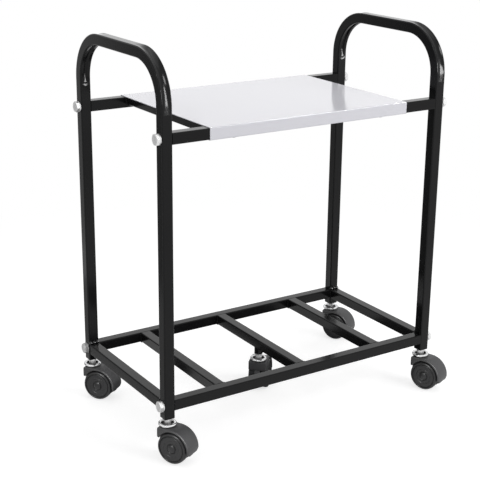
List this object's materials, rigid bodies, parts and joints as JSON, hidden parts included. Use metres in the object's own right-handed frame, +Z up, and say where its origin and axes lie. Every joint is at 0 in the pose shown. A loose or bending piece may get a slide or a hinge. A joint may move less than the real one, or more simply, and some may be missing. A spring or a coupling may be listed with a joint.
{
  "type": "battery trolley",
  "caption": "Square-tube battery trolley with bent side handles, a slatted lower platform, a folded sheet shelf and hooded twin-wheel swivel casters.",
  "frame": {"origin": "On the floor, at the middle of the footprint with the casters as they rest.", "axes": "+X to the right along the long side, +Y to the back, +Z up."},
  "size_m": [0.6097, 0.3576, 0.685],
  "materials": {
    "black_powder_coat": "satin powder coat",
    "pale_gloss_coat": "glossy",
    "zinc_plate": "bright zinc plate",
    "chrome_plate": "polished",
    "plain_steel": "plain",
    "hood_plastic": "fine matte",
    "wheel_plastic": "semi-matte"
  },
  "bodies": {
    "frame": {"left_side_frame": "black_powder_coat", "right_side_frame": "black_powder_coat", "left_end_rail": "black_powder_coat", "right_end_rail": "black_powder_coat", "lower_front_rail": "black_powder_coat", "lower_back_rail": "black_powder_coat", "left_slat": "black_powder_coat", "middle_slat": "black_powder_coat", "right_slat": "black_powder_coat", "upper_front_rail": "black_powder_coat", "upper_back_rail": "black_powder_coat", "left_shelf_cross": "black_powder_coat", "right_shelf_cross": "black_powder_coat", "slat_bush": "black_powder_coat", "shelf_panel": "pale_gloss_coat", "lower_bolts": "zinc_plate", "upper_bolts": "zinc_plate", "bolt_washers": "zinc_plate", "rail_nut_blocks": "plain_steel", "foot_plugs": "plain_steel", "panel_screws": "zinc_plate", "front_left_stem": "zinc_plate", "front_right_stem": "zinc_plate", "back_left_stem": "zinc_plate", "back_right_stem": "zinc_plate", "centre_stem": "zinc_plate"},
    "front_left_caster": {"front_left_swivel_ring": "chrome_plate", "front_left_hood": "hood_plastic", "front_left_axle": "plain_steel"},
    "front_left_wheel_left": {"front_left_wheel_left": "wheel_plastic"},
    "front_left_wheel_right": {"front_left_wheel_right": "wheel_plastic"},
    "front_right_caster": {"front_right_swivel_ring": "chrome_plate", "front_right_hood": "hood_plastic", "front_right_axle": "plain_steel"},
    "front_right_wheel_left": {"front_right_wheel_left": "wheel_plastic"},
    "front_right_wheel_right": {"front_right_wheel_right": "wheel_plastic"},
    "back_left_caster": {"back_left_swivel_ring": "chrome_plate", "back_left_hood": "hood_plastic", "back_left_axle": "plain_steel"},
    "back_left_wheel_left": {"back_left_wheel_left": "wheel_plastic"},
    "back_left_wheel_right": {"back_left_wheel_right": "wheel_plastic"},
    "back_right_caster": {"back_right_swivel_ring": "chrome_plate", "back_right_hood": "hood_plastic", "back_right_axle": "plain_steel"},
    "back_right_wheel_left": {"back_right_wheel_left": "wheel_plastic"},
    "back_right_wheel_right": {"back_right_wheel_right": "wheel_plastic"},
    "centre_caster": {"centre_swivel_ring": "chrome_plate", "centre_hood": "hood_plastic", "centre_axle": "plain_steel"},
    "centre_wheel_left": {"centre_wheel_left": "wheel_plastic"},
    "centre_wheel_right": {"centre_wheel_right": "wheel_plastic"}
  },
  "joints": [
    {"name": "front_left_swivel", "type": "hinge", "parent": "frame", "child": "front_left_caster", "pos_m": [-0.2852, -0.1255, 0.064], "axis": [0, 0, 1], "continuous": true},
    {"name": "front_left_left_roll", "type": "hinge", "parent": "front_left_caster", "child": "front_left_wheel_left", "pos_m": [-0.27698, -0.14095, 0.0275], "axis": [0.8829, 0.4695, 0], "continuous": true},
    {"name": "front_left_right_roll", "type": "hinge", "parent": "front_left_caster", "child": "front_left_wheel_right", "pos_m": [-0.27698, -0.14095, 0.0275], "axis": [0.8829, 0.4695, 0], "continuous": true},
    {"name": "front_right_swivel", "type": "hinge", "parent": "frame", "child": "front_right_caster", "pos_m": [0.2678, -0.1255, 0.064], "axis": [0, 0, 1], "continuous": true},
    {"name": "front_right_left_roll", "type": "hinge", "parent": "front_right_caster", "child": "front_right_wheel_left", "pos_m": [0.27379, -0.14194, 0.0275], "axis": [0.9397, 0.342, 0], "continuous": true},
    {"name": "front_right_right_roll", "type": "hinge", "parent": "front_right_caster", "child": "front_right_wheel_right", "pos_m": [0.27379, -0.14194, 0.0275], "axis": [0.9397, 0.342, 0], "continuous": true},
    {"name": "back_left_swivel", "type": "hinge", "parent": "frame", "child": "back_left_caster", "pos_m": [-0.2852, 0.1605, 0.064], "axis": [0, 0, 1], "continuous": true},
    {"name": "back_left_left_roll", "type": "hinge", "parent": "back_left_caster", "child": "back_left_wheel_left", "pos_m": [-0.27491, 0.14634, 0.0275], "axis": [0.809, 0.5878, 0], "continuous": true},
    {"name": "back_left_right_roll", "type": "hinge", "parent": "back_left_caster", "child": "back_left_wheel_right", "pos_m": [-0.27491, 0.14634, 0.0275], "axis": [0.809, 0.5878, 0], "continuous": true},
    {"name": "back_right_swivel", "type": "hinge", "parent": "frame", "child": "back_right_caster", "pos_m": [0.2678, 0.1605, 0.064], "axis": [0, 0, 1], "continuous": true},
    {"name": "back_right_left_roll", "type": "hinge", "parent": "back_right_caster", "child": "back_right_wheel_left", "pos_m": [0.27547, 0.14477, 0.0275], "axis": [0.8988, 0.4384, 0], "continuous": true},
    {"name": "back_right_right_roll", "type": "hinge", "parent": "back_right_caster", "child": "back_right_wheel_right", "pos_m": [0.27547, 0.14477, 0.0275], "axis": [0.8988, 0.4384, 0], "continuous": true},
    {"name": "centre_swivel", "type": "hinge", "parent": "frame", "child": "centre_caster", "pos_m": [-0.0087, 0.0175, 0.064], "axis": [0, 0, 1], "continuous": true},
    {"name": "centre_left_roll", "type": "hinge", "parent": "centre_caster", "child": "centre_wheel_left", "pos_m": [0.00389, 0.02966, 0.0275], "axis": [-0.6947, 0.7193, 0], "continuous": true},
    {"name": "centre_right_roll", "type": "hinge", "parent": "centre_caster", "child": "centre_wheel_right", "pos_m": [0.00389, 0.02966, 0.0275], "axis": [-0.6947, 0.7193, 0], "continuous": true}
  ]
}
